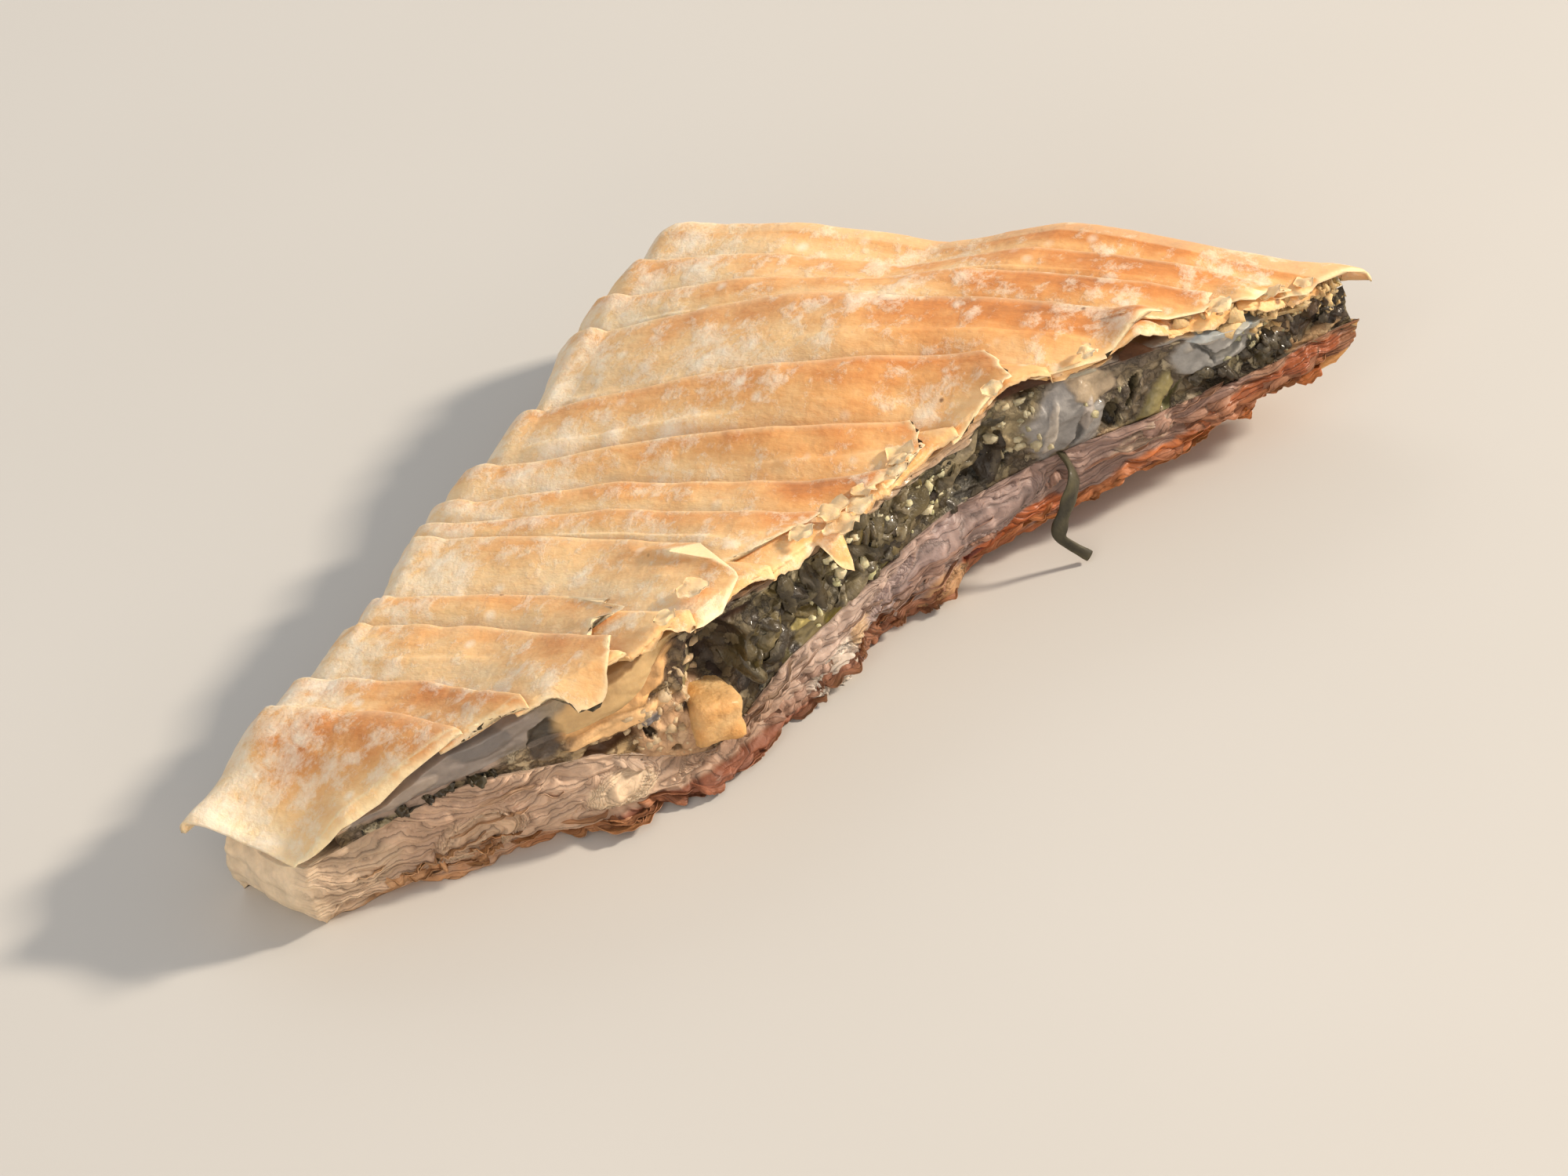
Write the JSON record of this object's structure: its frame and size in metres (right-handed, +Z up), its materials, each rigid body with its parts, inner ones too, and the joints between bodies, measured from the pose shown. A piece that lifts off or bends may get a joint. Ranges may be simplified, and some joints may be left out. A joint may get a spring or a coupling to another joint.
{
  "type": "spanakopita",
  "caption": "Triangular half of a pleated flaky pastry pie with a spinach and cheese filling, cut corner to corner so the layers show.",
  "frame": {"origin": "centre of the bounding box at its lowest face, on the flat underside", "axes": "+X along the cut towards the pointed tip, +Y from the cut face into the piece, +Z up through the layers"},
  "size_m": [0.1786, 0.0978, 0.0298],
  "materials": {
    "pastry_top": "satin",
    "filling": "satin",
    "pastry_bottom": "satin",
    "cheese_lump": "satin"
  },
  "bodies": {
    "root": {"pastry_top": "pastry_top", "filling": "filling", "pastry_bottom": "pastry_bottom", "cheese_lump": "cheese_lump"}
  },
  "joints": []
}
